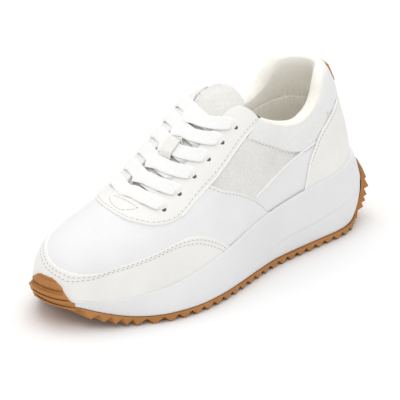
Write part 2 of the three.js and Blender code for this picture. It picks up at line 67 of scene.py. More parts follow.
# height over the feather edge, and how far the back leans forward there
HEEL_CURVE = np.array([[0, 0], [12, 2.4], [30, 7.6], [50, 15.6], [66, 23.5], [120, 43.0]])
TOPLINE = np.array(
    [  # y, height of the collar's edge
        [8, 128], [22, 105.5], [34, 97.5], [48, 92.8], [62, 91.4],
        [76, 95.2], [86, 101.6], [95, 109.8], [106, 116.3], [140, 118.3],
    ]
)
THROAT = np.array(
    [  # y, half width, x of its middle
        [-64, 11.5, 0.5], [-52, 12.9, 3.6], [-36, 13.0, 5.2], [-20, 12.9, 5.6], [-8, 12.9, 5.6],
        [2, 13.2, 4.6], [12, 16.4, 3.0], [18, 21.0, 1.8], [24, 27.0, 1.0],
    ]
)
THROAT_END = (14.0, 2.2)
OPENS_FROM = -104.0  # y where the ridge begins to part towards the throat
COLLAR_FROM = 24.5  # y where the throat ends and the collar begins
SHELL_WALL = 2.4
CROWDING = 2.2  # power by which stations crowd towards toe and heel

# The last's zero point in the frame, in mm, from the middles of the heel tab and of the insole.
tab_low, tab_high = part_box("heel_tab")
insole_low, insole_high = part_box("insole")
ORIGIN = np.array([(tab_low.x + tab_high.x) * 500 - LAST[-1, 1], (insole_low.y + insole_high.y) * 500, 0.0])


def through(table, column, at):
    """Smooth curve through one column of a table over its first column: cubic Hermite pieces, where
    the slope at a knot is the rise between its two neighbours over their distance."""
    x, v = np.asarray(table, float)[:, 0], np.asarray(table, float)[:, column]
    at = np.clip(np.asarray(at, float), x[0], x[-1])
    knot = np.arange(len(x))
    before, after = np.maximum(knot - 1, 0), np.minimum(knot + 1, len(x) - 1)
    slope = (v[after] - v[before]) / (x[after] - x[before])
    i = np.clip(np.searchsorted(x, at, side="right") - 1, 0, len(x) - 2)
    h = x[i + 1] - x[i]
    t = (at - x[i]) / h
    start = (1 + 2 * t) * (1 - t) ** 2 * v[i] + t * (1 - t) ** 2 * h * slope[i]
    return start + t * t * (3 - 2 * t) * v[i + 1] + t * t * (t - 1) * h * slope[i + 1]


def rounded_end(distance, end):
    """Superellipse quarter, 0 at distance 0 and 1 at its reach: (1 - (1 - d/reach)^p)^(1/p)."""
    left = np.clip(1 - distance / end[0], 0, 1)
    return np.maximum(1 - left ** end[1], 0) ** (1 / end[1])


def ease(low, high, at):
    """Smooth step from 0 at low to 1 at high: t*t*(3 - 2t)."""
    t = np.clip((np.asarray(at, float) - low) / (high - low), 0, 1)
    return t * t * (3 - 2 * t)


def section_point(y, turn, lift):
    """Point of the last at a y: across = half * plan * sin(turn)^(2/full), up = arch * rise *
    cos(turn)^(2/full), set forward by the heel curve. turn is -1 and 1 at the two feather edges and 0
    on the ridge; lift swells the whole last."""
    y, turn, lift = np.broadcast_arrays(*(np.asarray(a, float) for a in (y, turn, lift)))
    centre, half, feather, arch, full = (through(LAST, c, y) for c in range(1, 6))
    plan = rounded_end(y - TOE_Y + lift, TOE_END) * rounded_end(HEEL_Y + lift - y, HEEL_END)
    rise = rounded_end(y - TOE_Y + lift, TOP_END)
    angle = turn * np.pi / 2
    across = np.sign(angle) * np.abs(np.sin(angle)) ** (2 / full)
    up = (arch + lift) * rise * np.abs(np.cos(angle)) ** (2 / full)
    share = np.clip((y - 20) / (HEEL_Y - 20), 0, 1) ** 2
    x = centre + (half + lift) * plan * across
    return np.stack([x, y - share * through(HEEL_CURVE, 1, up), feather + up], -1)


CREASES = np.array(
    [  # y, turn at one end, y, turn at the other, half width, depth (negative stands up)
        [-86, 0.12, -74, 0.58, 5.0, 0.35],
        [-80, 0.10, -66, 0.60, 3.5, -0.25],
        [-84, -0.15, -74, -0.55, 5.0, 0.35],
        [-62, 0.62, -40, 0.74, 5.0, 0.40],
        [-52, 0.60, -24, 0.66, 4.0, -0.30],
        [-30, 0.72, 0, 0.86, 5.5, 0.35],
        [-14, 0.62, 14, 0.82, 6.0, -0.30],
        [20, 0.66, 34, 0.84, 4.5, 0.45],
        [36, 0.88, 56, 0.94, 4.5, 0.35],
        [96, 0.74, 108, 0.92, 6.0, 0.35],
        [112, 0.76, 120, 0.94, 5.0, -0.25],
        [98, 0.60, 104, 0.66, 3.0, 0.45],
        [108, 0.57, 112, 0.66, 2.6, 0.40],
        [-30, -0.66, 0, -0.86, 6.0, 0.40],
        [96, -0.74, 108, -0.92, 6.0, 0.35],
    ]
)


def creases(y, turn):
    """Height in mm of the soft wear creases: each is -depth * exp(-(d/width)^2), where d is the
    distance to the crease's straight run, with 90 mm to a full turn."""
    y, turn = np.broadcast_arrays(np.asarray(y, float), np.asarray(turn, float))
    height = np.zeros(y.shape)
    for y0, t0, y1, t1, width, depth in CREASES:
        run = np.array([y1 - y0, (t1 - t0) * 90])
        away = np.stack([y - y0, (turn - t0) * 90], -1)
        part = np.clip(away @ run / (run @ run), 0, 1)
        gap = np.linalg.norm(away - part[..., None] * run, axis=-1)
        height -= depth * np.exp(-((gap / width) ** 2)) * np.sin(np.pi * (0.15 + 0.7 * part))
    return height


def last_point(y, turn, lift=0.0):
    """section_point at y + lift * (2 * share - 1), where share is the part of the length behind y, so
    that a lifted surface closes past both ends; its lift has the creases added."""
    y, lift = np.asarray(y, float), np.asarray(lift, float)
    return section_point(y + lift * (2 * (y - TOE_Y) / (HEEL_Y - TOE_Y) - 1), turn, lift + creases(y, turn))


def turn_of_height(y, z, lift=0.0):
    """The turn at which the last at y is z high: arccos(((z - feather)/(arch + lift))^(full/2))."""
    feather, arch, full = (through(LAST, c, y) for c in (3, 4, 5))
    share = np.clip((z - feather) / (arch + lift), 0, 1) ** (full / 2)
    return np.arccos(share) / (np.pi / 2)


def turn_of_width(y, x, lift=0.0):
    """The turn at which the last at y is x away from its middle: arcsin((x/(half*plan))^(full/2))."""
    half, full = through(LAST, 2, y), through(LAST, 5, y)
    plan = rounded_end(y - TOE_Y + lift, TOE_END) * rounded_end(HEEL_Y + lift - y, HEEL_END)
    return np.arcsin(np.clip(x / ((half + lift) * plan), 0, 1) ** (full / 2)) / (np.pi / 2)


def edge_turn(y, side):
    """The turn of the upper's top edge on one side: the closed ridge in front, then the throat slot,
    x = middle + side * half * end, then the topline of the collar."""
    front = THROAT[0, 0]
    reach = side * through(THROAT, 1, y) * rounded_end(y - front, THROAT_END)
    slot = through(THROAT, 2, y) + reach - through(LAST, 1, y)
    slot = np.sign(slot) * turn_of_width(y, np.abs(slot)) * ease(OPENS_FROM, front, y)
    return np.where(y > COLLAR_FROM, side * turn_of_height(y, through(TOPLINE, 1, y)), slot)


def spread(q):
    """y from an even station q of 0 to 1: the share of the length is q^c / (q^c + (1 - q)^c)."""
    q = np.clip(q, 0, 1)
    return TOE_Y + (HEEL_Y - TOE_Y) * q**CROWDING / (q**CROWDING + (1 - q) ** CROWDING)


def station(y):
    """The inverse of spread: u / (u + v), with u = share^(1/c) and v = (1 - share)^(1/c)."""
    share = np.clip((np.asarray(y, float) - TOE_Y) / (HEEL_Y - TOE_Y), 0, 1)
    u = share ** (1 / CROWDING)
    return u / (u + (1 - share) ** (1 / CROWDING))


def build(name, grids, finishes, wall=0.0, outwards=True, weld=0.01, sharp=None, replaces=()):
    """A mesh piece from grids of points in mm, each with its UV in mm and the number of its finish.
    Neighbours on a grid make quads; outwards turns each grid away from the shoe's middle line, which
    runs 30 mm up from y -90 to 95. weld and wall are in mm, sharp in degrees."""
    points, faces, corners, index = [], [], [], []
    count = 0
    for grid, uv, number in grids:
        rows, columns = grid.shape[:2]
        a = (np.arange(rows - 1)[:, None] * columns + np.arange(columns - 1)[None, :]).reshape(-1)
        quads = np.stack([a, a + 1, a + columns + 1, a + columns], -1)
        flat = grid.reshape(-1, 3)
        if outwards:
            one, two = flat[quads[:, 2]] - flat[quads[:, 0]], flat[quads[:, 3]] - flat[quads[:, 1]]
            middle = flat[quads].mean(1)
            line = [np.zeros(len(a)), np.clip(middle[:, 1], -90, 95), np.full(len(a), 30.0)]
            away = middle - np.stack(line, -1)
            if (np.cross(one, two) * away).sum() < 0:
                quads = quads[:, ::-1]
        points.append(flat)
        faces.append(quads + count)
        index.append(np.full(len(quads), number))
        corners.append((np.zeros((len(flat), 2)) if uv is None else uv.reshape(-1, 2))[quads.reshape(-1)])
        count += len(flat)
    mesh = bpy.data.meshes.new(name)
    mesh.from_pydata((np.concatenate(points) + ORIGIN) / 1000, [], np.concatenate(faces).tolist())
    layer = mesh.uv_layers.new(name="cut")
    layer.data.foreach_set("uv", np.concatenate(corners).astype(np.float32).reshape(-1))
    mesh.polygons.foreach_set("material_index", np.concatenate(index).astype(np.int32))
    for finish in finishes:
        mesh.materials.append(finish)
    if weld:
        work = bmesh.new()
        work.from_mesh(mesh)
        bmesh.ops.remove_doubles(work, verts=work.verts, dist=weld / 1000)
        bmesh.ops.dissolve_degenerate(work, edges=work.edges, dist=1e-7)
        work.to_mesh(mesh)
        work.free()
    mesh.polygons.foreach_set("use_smooth", np.ones(len(mesh.polygons), bool))
    if sharp:
        mesh.set_sharp_from_angle(angle=np.radians(sharp))
    piece = bpy.data.objects.new(name, mesh)
    bpy.context.scene.collection.objects.link(piece)
    if wall:
        solid = piece.modifiers.new("wall", "SOLIDIFY")
        solid.thickness, solid.offset = wall / 1000, -1.0
    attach(piece, "root")
    if replaces:
        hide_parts(*replaces)
    return piece


class Signal:
    """A node's socket under arithmetic: each operator adds one Math node to the same material."""

    def __init__(self, tree, socket):
        self.tree, self.socket = tree, socket

    def node(self, kind, settings=None, inputs=None, output=0):
        """A new node: settings first (a ramp's stops among them), then values or links, one output."""
        made = self.tree.nodes.new("ShaderNode" + kind)
        for key, value in (settings or {}).items():
            if key == "stops":
                ramp = made.color_ramp
                while len(ramp.elements) < len(value):
                    ramp.elements.new(0.5)
                for element, (place, colour) in zip(ramp.elements, value):
                    element.position, element.color = place, (*colour, 1.0)
            else:
                setattr(made, key, value)
        for key, value in (inputs or {}).items():
            if isinstance(value, Signal):
                self.tree.links.new(value.socket, made.inputs[key])
            else:
                made.inputs[key].default_value = value
        return Signal(self.tree, made.outputs[output])

    def maths(self, operation, *values):
        """One Math node on these values, in their order."""
        return self.node("Math", {"operation": operation}, dict(enumerate(values)))

    def __add__(self, other):
        return self.maths("ADD", self, other)

    def __sub__(self, other):
        return self.maths("SUBTRACT", self, other)

    def __rsub__(self, other):
        return self.maths("SUBTRACT", other, self)

    def __mul__(self, other):
        return self.maths("MULTIPLY", self, other)

    __radd__, __rmul__ = __add__, __mul__

    def sine(self):
        """sin of the value, in radians."""
        return self.maths("SINE", self)

    def clamped(self, low, high):
        """(value - low) / (high - low), held between 0 and 1."""
        return self.node("MapRange", {"clamp": True}, {0: self, 1: low, 2: high})

    def noise(self, scale, detail, rough):
        """Noise over these coordinates, from 0 to 1."""
        inputs = {"Vector": self, "Scale": scale, "Detail": detail, "Roughness": rough}
        return self.node("TexNoise", None, inputs)

    def blend(self, first, second):
        """The colour that this factor mixes between two colours."""
        pair = {6: first, 7: second}
        for key, colour in pair.items():
            if not isinstance(colour, Signal):
                pair[key] = (*colour, 1.0)
        return self.node("Mix", {"data_type": "RGBA"}, {0: self, **pair}, output=2)


def finish_of(name, recipe, **constants):
    """A material: recipe(place, cut) gives its colour, roughness and height in mm from the object's
    coordinates and the piece's UVs, and the constants go on the shader's own sockets."""
    material = bpy.data.materials.new(name)
    material.use_nodes = True
    tree = material.node_tree
    shader = tree.nodes["Principled BSDF"]
    coordinates = tree.nodes.new("ShaderNodeTexCoord")
    place, cut = Signal(tree, coordinates.outputs["Object"]), Signal(tree, coordinates.outputs["UV"])
    colour, rough, height = recipe(place, cut)
    tree.links.new(colour.socket, shader.inputs["Base Color"])
    tree.links.new(rough.socket, shader.inputs["Roughness"])
    bump = place.node("Bump", None, {"Strength": 1.0, "Distance": 0.001, "Height": height})
    tree.links.new(bump.socket, shader.inputs["Normal"])
    for key, value in constants.items():
        shader.inputs[key.replace("_", " ")].default_value = value
    return material


def leather(first, second, grain, rough):
    """Leather: two close shades mottled by broad noise; its height is grain * (cells + 0.6 * pores +
    1.6 * wrinkle)."""

    def recipe(place, cut):
        mottle = place.noise(38, 5, 0.6)
        pores = place.noise(1500, 2, 0.5)
        inputs = {"Vector": place, "Scale": 900.0, "Randomness": 1.0}
        cells = place.node("TexVoronoi", {"feature": "F1"}, inputs)
        wrinkle = place.noise(110, 4, 0.6)
        colour = (mottle * 0.8 + pores * 0.2).clamped(0.3, 0.7).blend(first, second)
        height = cells * grain + pores * (grain * 0.6) + wrinkle * (grain * 1.6)
        return colour, rough + mottle * 0.12, height

    return recipe


vamp_leather = finish_of("vamp_leather", leather((0.775, 0.775, 0.775), (0.825, 0.825, 0.825), 0.03, 0.55))
EDGE_STEP_DOWN = 0.008  # turn by which the shell stops short of the throat's and the collar's edge
ys = spread(np.linspace(0, 1, 261))
down = np.linspace(0, 1, 64)[None, :] ** 1.15
halves = []
for side in (-1, 1):
    top = edge_turn(ys, side)[:, None] + side * np.where(ys > THROAT[0, 0], EDGE_STEP_DOWN, 0)[:, None]
    halves.append(top + (side - top) * down)
ring_y = np.concatenate([ys, ys[-2::-1]])[:, None]
ring_turn = np.concatenate([halves[0], halves[1][-2::-1]])
shell = last_point(ring_y, ring_turn)
build("upper_shell", [(shell, None, 0)], [vamp_leather],
      wall=SHELL_WALL, replaces=("upper",))

# ---------- panels
# The outer panels are cut from split leather 0.9 mm thick with rounded raw edges, glued on the body of
# the upper and sewn down: a mudguard round the toe, a U-shaped eyestay, a counter round the heel. Between
# them are the vamp's rear edges, the side panels of fine knit, and the padded collar and heel top.


def length_along(spot, least=0.0):
    """Distance in mm gone along a line of points at each of them; every step counts least more."""
    return np.concatenate([[0], np.cumsum(np.linalg.norm(np.diff(spot, axis=0), axis=1) + least)])


def border(knots, count):
    """Even points along the smooth line through knots of (y, turn), spaced by their distance in mm in
    three passes: each comes back as (station, turn)."""
    knots = np.asarray(knots, float)
    knots = np.stack([station(knots[:, 0]), knots[:, 1]], -1)
    for _ in range(3):
        gone = length_along(last_point(spread(knots[:, 0]), knots[:, 1]), least=1e-6)
        table = np.column_stack([gone, knots])
        at = np.linspace(0, gone[-1], count)
        knots = np.stack([through(table, 1, at), through(table, 2, at)], -1)
    return knots


RIM_STEPS = np.array([0.0, 0.04, 0.16, 0.4, 0.75, 1.0])  # rows over a rounded rim, in its widths
RIM_MOST = 0.32  # the rim's largest share of a narrow panel
ROW_EVERY = 1.6


def width_between(one, two):
    """Distance in mm from one border to the other over the last, summed over eight short steps."""
    share = np.linspace(0, 1, 9)[:, None]
    q, turn = (one[:, c] + (two - one)[:, c] * share for c in (0, 1))
    return np.linalg.norm(np.diff(last_point(spread(q), turn), axis=0), axis=-1).sum(0)


def panel_grid(one, two, thick, round_off=1.0, round_ends=False, puff=0.0, sink=0.35):
    """Grid between two borders. Its rows run at set distances in from both, where the height rises as
    a quarter round from -sink to thick, and the puff adds puff * sin(pi * share)^0.8 between them.
    round_ends rounds off the first and the last column too."""
    near = RIM_STEPS * round_off
    span = np.maximum(width_between(one, two), 0.05)
    low = np.minimum(near[:, None], span[None, :] * RIM_MOST * RIM_STEPS[:, None]) / span
    middle = np.linspace(0, 1, int(np.clip(span.max() / ROW_EVERY, 6, 60)))[1:-1, None]
    share = np.concatenate([low, low[-1] + (1 - 2 * low[-1]) * middle, 1 - low[::-1]])
    inside = np.minimum(share, 1 - share) * span
    along = length_along(last_point(spread(one[:, 0]), one[:, 1]))
    if round_ends:
        inside = np.minimum(inside, np.minimum(along, along[-1] - along))
    rim = np.clip(inside / round_off, 0, 1)
    height = -sink + (thick + sink) * np.sqrt(np.clip(1 - (1 - rim) ** 2, 0, 1))
    height = height + puff * np.sin(np.pi * share) ** 0.8 * ease(0, 1, rim)
    q = one[:, 0] + (two - one)[:, 0] * share
    turn = one[:, 1] + (two - one)[:, 1] * share
    uv = np.stack([along[None, :] + 0 * share, share * span.mean()], -1)
    return last_point(spread(q), turn, height), uv


def both_sides(knots_one, knots_two, count, *sizes, **more):
    """The panel's grid on the lateral side and the same on the medial side."""
    grids = []
    for sign in (1, -1):
        one, two = (border([(y, sign * t) for y, t in knots], count) for knots in (knots_one, knots_two))
        grids.append((*panel_grid(one, two, *sizes, **more), 0))
    return grids


split_leather = finish_of("split_leather", leather((0.80, 0.79, 0.765), (0.865, 0.86, 0.84), 0.05, 0.66))
LEATHER, STAY_LEATHER = 0.9, 1.0

MUDGUARD = [
    (-18.6, 1.0), (-32.6, 0.87), (-44.7, 0.76), (-57.6, 0.69), (-74.3, 0.67), (-96.8, 0.65),
    (-111.6, 0.64), (-120.5, 0.47), (-122.8, 0.08), (-117.7, -0.23), (-106.3, -0.42), (-90, -0.55),
    (-74, -0.63), (-57.6, -0.69), (-44.7, -0.77), (-32.6, -0.88), (-18.6, -1.0),
]
ROUND_THE_TOE = 0.42  # turn of its top edge within which its foot runs round the tip of the toe
guard_top = border(MUDGUARD, 420)
first, last = np.flatnonzero(np.abs(guard_top[:, 1]) < ROUND_THE_TOE)[[0, -1]]
step = np.arange(len(guard_top))
foot_q = np.where(step < first, guard_top[0, 0] * (1 - step / first), 0)
foot_q = np.where(step > last, guard_top[-1, 0] * (step - last) / (len(step) - 1 - last), foot_q)
guard_foot = np.stack([foot_q, np.clip(guard_top[:, 1] / ROUND_THE_TOE, -1, 1)], -1)
grid, uv = panel_grid(guard_foot, guard_top, LEATHER)
build("mudguard", [(grid, uv, 0)], [split_leather], sharp=80)

EYESTAY_LATERAL = [
    (25.1, 0.50), (0.6, 0.52), (-22.4, 0.53), (-38.5, 0.52),
    (-52.3, 0.53), (-62, 0.50), (-72.9, 0.39), (-79.7, 0.19),
]
EYESTAY_MEDIAL = [
    (-78.2, -0.04), (-70.1, -0.30), (-61, -0.43), (-50, -0.50),
    (-38.5, -0.52), (-22.4, -0.53), (0.6, -0.52), (25.1, -0.50),
]
slot_y = np.concatenate([np.linspace(24.4, -60, 60), -64 + 4 * np.cos(np.linspace(0, np.pi / 2, 12))[1:]])
slot_edge = np.concatenate([
    np.stack([slot_y, edge_turn(slot_y, 1)], -1),
    np.stack([slot_y, edge_turn(slot_y, -1)], -1)[-2::-1],
])
stay_out = border(EYESTAY_LATERAL + EYESTAY_MEDIAL, 300)
stay_in = border(slot_edge, 300)
grid, uv = panel_grid(stay_in, stay_out, STAY_LEATHER)
build("eyestay", [(grid, uv, 0)], [split_leather], sharp=80)

COUNTER = [
    (60.2, 1.0), (66.6, 0.88), (72.4, 0.83), (79.2, 0.785),
    (86, 0.755), (98.8, 0.722), (112, 0.694), (128, 0.685),
]


def round_the_heel(knots, count):
    """A border on the lateral side to the back of the heel, then back along the medial side."""
    half = border(knots, count)
    return np.concatenate([half, (half * [1, -1])[-2::-1]])


counter_top = round_the_heel(COUNTER, 110)
counter_foot = np.stack([counter_top[:, 0], np.sign(counter_top[:, 1])], -1)
grid, uv = panel_grid(counter_foot, counter_top, LEATHER)
build("heel_counter", [(grid, uv, 0)], [split_leather], sharp=80)

WING_REAR = [(-29.3, 0.50), (-18, 0.66), (-4, 0.79), (8.3, 0.89), (26, 1.0)]
WING_FRONT = [(-62, 0.50), (-62, 0.62), (-60, 0.76), (-58, 0.90), (-56, 1.0)]
WING_THICK, WING_SUNK = 0.6, 0.15  # height at the rear edge, and depth at the front
WING_RIM = 0.97  # share of the way back where the rear edge rounds down
wings = []
for sign in (1, -1):
    front, rear = (border([(y, sign * t) for y, t in knots], 90) for knots in (WING_FRONT, WING_REAR))
    share = np.concatenate([np.linspace(0, WING_RIM, 40), [0.98, 0.988, 0.994, 0.998, 1.0]])[:, None]
    rising = -WING_SUNK + (WING_THICK + WING_SUNK) * ease(0, 0.8, share)
    falling = WING_THICK - 0.95 * ((share - WING_RIM) / (1 - WING_RIM)) ** 2
    height = np.where(share < WING_RIM, rising, falling)
    q, turn = (front[:, c] + (rear - front)[:, c] * share for c in (0, 1))
    wings.append((last_point(spread(q), turn, height), None, 0))
build("vamp_wings", wings, [vamp_leather], sharp=80)


def knit(first, second, fleck):
    """Fine knit: small loops, sin(5.2 u) * sin(4.4 v) along the cut, flecked by noise in two shades."""

    def recipe(place, cut):
        axes = cut.node("SeparateXYZ", None, {0: cut})
        other = Signal(axes.tree, axes.socket.node.outputs[1])
        loops = (axes * 5.2).sine() * (other * 4.4).sine()
        speck = place.noise(620, 3, 0.7)
        broad = place.noise(60, 3, 0.6)
        shade = (speck * fleck + loops * 0.18 + broad * 0.5).clamped(0.35, 1.05)
        return shade.blend(first, second), 0.84 + broad * 0.1, loops * 0.10 + speck * 0.12

    return recipe


side_knit = finish_of("side_knit", knit((0.66, 0.65, 0.62), (0.885, 0.88, 0.865), 0.9), Sheen_Weight=0.15)
KNIT_TOP = [
    (-29.3, 0.54), (-8, 0.54), (8, 0.545), (16, 0.60),
    (28, 0.69), (42.1, 0.77), (57.3, 0.81), (62, 0.815),
]
KNIT_FOOT = [
    (-29.3, 0.54), (-18, 0.68), (-4, 0.81), (8.3, 0.89),
    (24, 0.87), (42, 0.84), (56, 0.82), (62, 0.815),
]
grids = both_sides(KNIT_TOP, KNIT_FOOT, 150, 0.25, round_off=0.4, sink=0.1)
build("side_knit", grids, [side_knit], sharp=80)


def brushed(first, second, rough):
    """Brushed cloth: its height is 0.22 * fine nap + 0.5 * broad mottle."""

    def recipe(place, cut):
        nap = place.noise(420, 4, 0.7)
        broad = place.noise(55, 4, 0.6)
        colour = (nap * 0.6 + broad * 0.4).clamped(0.35, 0.65).blend(first, second)
        return colour, rough + nap * 0.1, nap * 0.22 + broad * 0.5

    return recipe


collar_nap = brushed((0.755, 0.752, 0.745), (0.83, 0.828, 0.825), 0.8)
collar_cloth = finish_of("collar_cloth", collar_nap, Sheen_Weight=0.2)
collar_y = np.array([24.6, 34, 44, 54, 64, 74, 84, 92])
COLLAR_TOP = list(zip(collar_y, edge_turn(collar_y + 0.01, 1) + 0.01))
COLLAR_FOOT = [
    (8.0, 0.535), (16, 0.60), (28, 0.69), (42.1, 0.77),
    (57.3, 0.81), (70, 0.81), (80, 0.775), (90, 0.74),
]
grids = both_sides(COLLAR_TOP, COLLAR_FOOT, 150, 0.5, puff=1.0)
collar_panels = build("collar_panels", grids, [collar_cloth], sharp=80)

patch_y = np.array([83.5, 95, 103, 109, 116, 122, 126, 128])
PATCH_TOP = list(zip(patch_y, edge_turn(patch_y, 1) + 0.012))
PATCH_FOOT = [
    (82.5, 0.667), (86.2, 0.682), (90, 0.701), (93.5, 0.712),
    (97.7, 0.711), (104.5, 0.694), (118.5, 0.688), (128, 0.686),
]
grid, uv = panel_grid(round_the_heel(PATCH_TOP, 80), round_the_heel(PATCH_FOOT, 80), 1.25,
                      round_ends=True, puff=0.9)
heel_patch = build("heel_top", [(grid, uv, 0)], [vamp_leather], sharp=80)

# ---------- piping and stitches
# Cream piping is folded into the seams of the heel counter, the quarters and the eyestays. The panels
# are sewn down with cream thread, 2.6 to 3.4 mm to a stitch; the shade in its needle holes is painted as
# small dark discs.
STITCH_LONG, STITCH_WIDE, STITCH_UP = 2.0, 0.5, 0.08
# needle holes are flat dark discs of painted shade
NEEDLE_WIDE, NEEDLE_LONG, NEEDLE_UP = 0.30, 0.50, 0.07  # the hole's two radii, and its height


def unit(vectors):
    """Each vector over its own length."""
    return vectors / (np.linalg.norm(vectors, axis=-1)[..., None] + 1e-9)


def frame_of(line, lift):
    """Points, forward directions and outward normals in mm along a line of (station, turn): the normal
    is square to the run and to the step taken by a small change of station or of turn."""
    q, turn = line[:, 0], line[:, 1]
    spot = last_point(spread(q), turn, lift)
    ahead = unit(np.gradient(spot, axis=0))
    over = unit(last_point(spread(q), turn, lift + 1.0) - spot)
    q_ahead = np.clip(q + 0.002, 0, 0.999)
    by_q = last_point(spread(q_ahead), turn, lift) - last_point(spread(q - 0.002), turn, lift)
    by_turn = last_point(spread(q), turn + 0.004, lift) - last_point(spread(q), turn - 0.004, lift)
    steps = np.stack([np.cross(ahead, by_q), np.cross(ahead, by_turn)], 1)
    best = np.linalg.norm(steps, axis=-1).argmax(1)
    normal = unit(steps[np.arange(len(line)), best])
    normal *= np.sign((normal * over).sum(1))[:, None]
    return spot, ahead, normal


def tube(line, radius, lift):
    """A cord laid along a line: circles of eight points round it, whose size grows with the square root
    of the steps from either end over the first three."""
    spot, ahead, over = frame_of(line, lift)
    side = np.cross(ahead, over)
    angle = np.linspace(0, 2 * np.pi, 9)[None, :, None]
    end = np.minimum(np.arange(len(line)), np.arange(len(line))[::-1])
    size = (radius * np.sqrt(np.clip(end / 3, 0.02, 1)))[:, None, None]
    grid = spot[:, None] + size * (np.cos(angle) * side[:, None] + np.sin(angle) * over[:, None])
    return grid, None, 0


def inset_line(one, other, distance):
    """The line that lies distance mm from the first border towards the second, at most half way."""
    share = np.minimum(distance / np.maximum(width_between(one, other), 0.1), 0.5)[:, None]
    return one + (other - one) * share


def stitches(line, lift, pitch=3.1):
    """Stitches along a line: each a spindle of 6 by 5 points lying on the panel, with a radius of
    width/2 * sqrt(1 - s^2), and at each gap a small dark disc, the painted shade of a needle hole."""
    axes = frame_of(line, lift)
    gone = length_along(axes[0])
    s = np.linspace(-1, 1, 5)[:, None, None]
    a = np.linspace(0, 2 * np.pi, 7)[None, :, None]
    rim = np.array([0.0, 1.0])[:, None, None]
    radius = np.sqrt(np.maximum(1 - s**2, 0.0)) * 0.5 * STITCH_WIDE

    def axes_at(where):
        """Point, forward, outward and sideways direction at a distance along the line."""
        here, along, up = (np.array([np.interp(where, gone, v[:, c]) for c in range(3)]) for v in axes)
        return here, along, up, np.cross(along, up)

    grids = []
    for where in np.arange(pitch, gone[-1] - pitch / 2, pitch):
        here, along, up, side = axes_at(where)
        spindle = along * s * STITCH_LONG / 2 + radius * (np.cos(a) * side + np.sin(a) * up)
        grids.append((here + up * STITCH_UP + spindle, None, 0))
        # a dark disc at the gap: painted shade of the needle hole
        here, along, up, side = axes_at(where + pitch / 2)
        disc = rim * (NEEDLE_WIDE * np.cos(a) * side + NEEDLE_LONG * np.sin(a) * along)
        grids.append((here + up * NEEDLE_UP + disc, None, 1))
    return grids


def thread(shade):
    """Thread: one shade, darkened to nine tenths by fine noise, which also gives 0.1 mm of height."""

    def recipe(place, cut):
        twist = place.noise(1400, 2, 0.5)
        return twist.blend(tuple(0.9 * c for c in shade), shade), 0.7 + twist * 0.1, twist * 0.1

    return recipe


cream_thread = finish_of("cream_thread", thread((0.84, 0.825, 0.78)))
# needle holes: a dark brown that paints the shade in them
needle_hole_shade = finish_of("needle_hole_shade", thread((0.40, 0.35, 0.27)))
piping = finish_of("piping", thread((0.93, 0.925, 0.905)))

sewn = []
sewn += stitches(inset_line(guard_top, guard_foot, 2.4), LEATHER)
sewn += stitches(inset_line(guard_top, guard_foot, 4.9), LEATHER)
sewn += stitches(inset_line(stay_out, stay_in, 2.6), STAY_LEATHER, pitch=3.4)
sewn += stitches(inset_line(counter_top, counter_foot, 2.3), LEATHER, pitch=2.6)
for sign in (1, -1):
    rear = border([(y - 3.0, sign * (t - 0.004)) for y, t in WING_REAR[:-1]] + [(22.0, sign * 0.99)], 90)
    sewn += stitches(rear, WING_THICK)
    sewn += stitches(border([(y, sign * (t + 0.006)) for y, t in COLLAR_FOOT[:-1]], 90), 0.35, pitch=3.4)
TACK = [
    (-68.3, -0.105), (-70.6, -0.09), (-72.8, -0.047), (-75.0, 0.01),
    (-76.0, 0.07), (-75.0, 0.12), (-71.7, 0.177), (-69.2, 0.197),
]
TACK_BAR = [(-68.3, -0.105), (-68.8, 0.03), (-69.2, 0.197)]
sewn += stitches(border(TACK, 40), STAY_LEATHER, pitch=2.8)
sewn += stitches(border(TACK_BAR, 40), STAY_LEATHER, pitch=2.8)
build("stitches", sewn, [cream_thread, needle_hole_shade], outwards=False, weld=0)

cords = []
QUARTER_SEAM = [(8.3, 0.885), (24, 0.868), (42, 0.84), (56, 0.82), (66, 0.81), (75.5, 0.80)]
for sign in (1, -1):
    cords.append(tube(border([(y, sign * t) for y, t in QUARTER_SEAM], 120), 0.7, 0.45))
    cords.append(tube(border([(y, sign * (t + 0.002)) for y, t in COUNTER[:-1]], 120), 0.85, 0.75))
    cords.append(tube(border([(y, sign * (t + 0.004)) for y, t in EYESTAY_LATERAL[:5]], 160), 0.75, 0.6))
build("piping", cords, [piping])

# ---------- collar roll and lining
# The collar is a roll of soft foam under brushed cream cloth, turned over the top edge of the upper
# and carried down inside it to the insole as the lining, with one seam under the roll.
ROLL = np.array(
    [  # mm down from the topline, mm out from the last
        [2.6, 0.2], [1.6, 0.8], [0.8, 1.0], [-0.2, 0.7], [-0.9, -0.4], [-1.2, -2.0], [-1.2, -4.0],
        [-0.6, -6.0], [0.6, -7.8], [2.0, -9.1], [5.0, -9.8], [9.0, -10.1], [12.0, -9.9], [12.8, -9.5],
        [13.6, -9.9], [17.0, -9.9], [22.0, -9.3], [28.0, -8.0], [36.0, -6.0], [44.0, -4.6], [60.0, -3.2],
    ]
)
SEAM_Z = 82.0  # height of the lining's seam at the front of the collar
SEAM_DROP = 12.8  # how far down ROLL has the seam
WALL_FACE = -2.9  # mm out from the last, where the upper's wall ends and the padding begins
THIN_PAD = 0.15  # share of the padding left at the front of the collar
profile = np.linspace(0, 1, 90)
row = np.column_stack([np.linspace(0, 1, len(ROLL)), ROLL])
drop, out = through(row, 1, profile), through(row, 2, profile)
collar_side = spread(np.linspace(station(COLLAR_FROM + 0.3), 1, 140))
collar_sign = np.concatenate([np.ones(140), -np.ones(139)])[:, None]
collar_ring = np.concatenate([collar_side, collar_side[-2::-1]])[:, None]
full_pad = ease(COLLAR_FROM, 46, collar_ring)
out = WALL_FACE + (out - WALL_FACE) * np.where(out < WALL_FACE, THIN_PAD + (1 - THIN_PAD) * full_pad, 1.0)
high = through(TOPLINE, 1, collar_ring)
feather = through(LAST, 3, collar_ring)
seam = np.maximum(high - SEAM_Z - 7.0 * ease(45, 112, collar_ring), 10.0)
